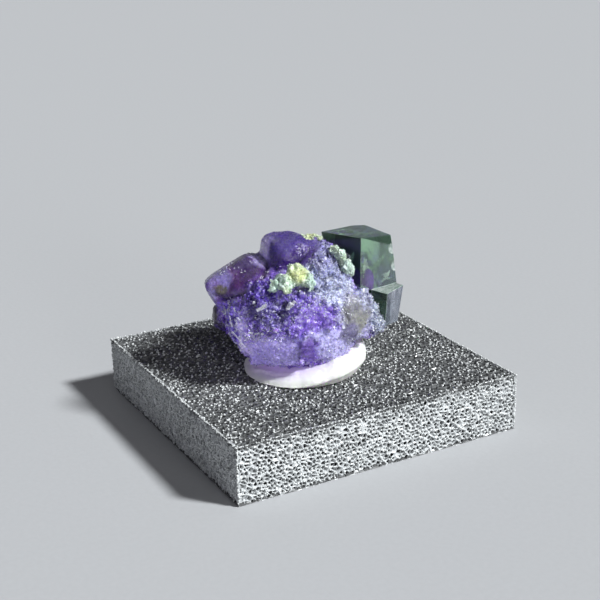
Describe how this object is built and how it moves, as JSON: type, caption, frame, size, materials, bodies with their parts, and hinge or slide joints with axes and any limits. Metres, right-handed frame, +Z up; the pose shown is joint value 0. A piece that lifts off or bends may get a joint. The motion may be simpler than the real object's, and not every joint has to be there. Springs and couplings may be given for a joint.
{
  "type": "phantom fluorite specimen on a foam pad",
  "caption": "Thumbnail mineral specimen: frosted purple fluorite with a clear green stepped crystal, set in white putty on a square foam pad.",
  "frame": {"origin": "centre of the foam pad's underside", "axes": "+Z up, X and Y along the sides of the square pad; the specimen's front faces the corner at -X -Y, turned 28 degrees from -Y"},
  "size_m": [0.03, 0.03, 0.0193],
  "materials": {
    "foam": "open-cell charcoal polyurethane foam, fine glossy cell walls",
    "putty": "matte white mounting putty",
    "purple_crystal": "translucent purple fluorite, frosted with tiny crystals",
    "green_crystal": "clear pale green fluorite with glassy faces",
    "phantom": "purple growth zone inside the clear crystal",
    "pale_crystal": "sugary pale yellow-green crystals"
  },
  "bodies": {
    "root": {"foam_pad": "foam", "putty": "putty", "purple_fluorite": "purple_crystal", "green_fluorite": "green_crystal", "purple_phantom": "phantom", "pale_lumps": "pale_crystal", "pale_crust_top": "pale_crystal", "pale_crust_side": "pale_crystal"}
  },
  "joints": []
}
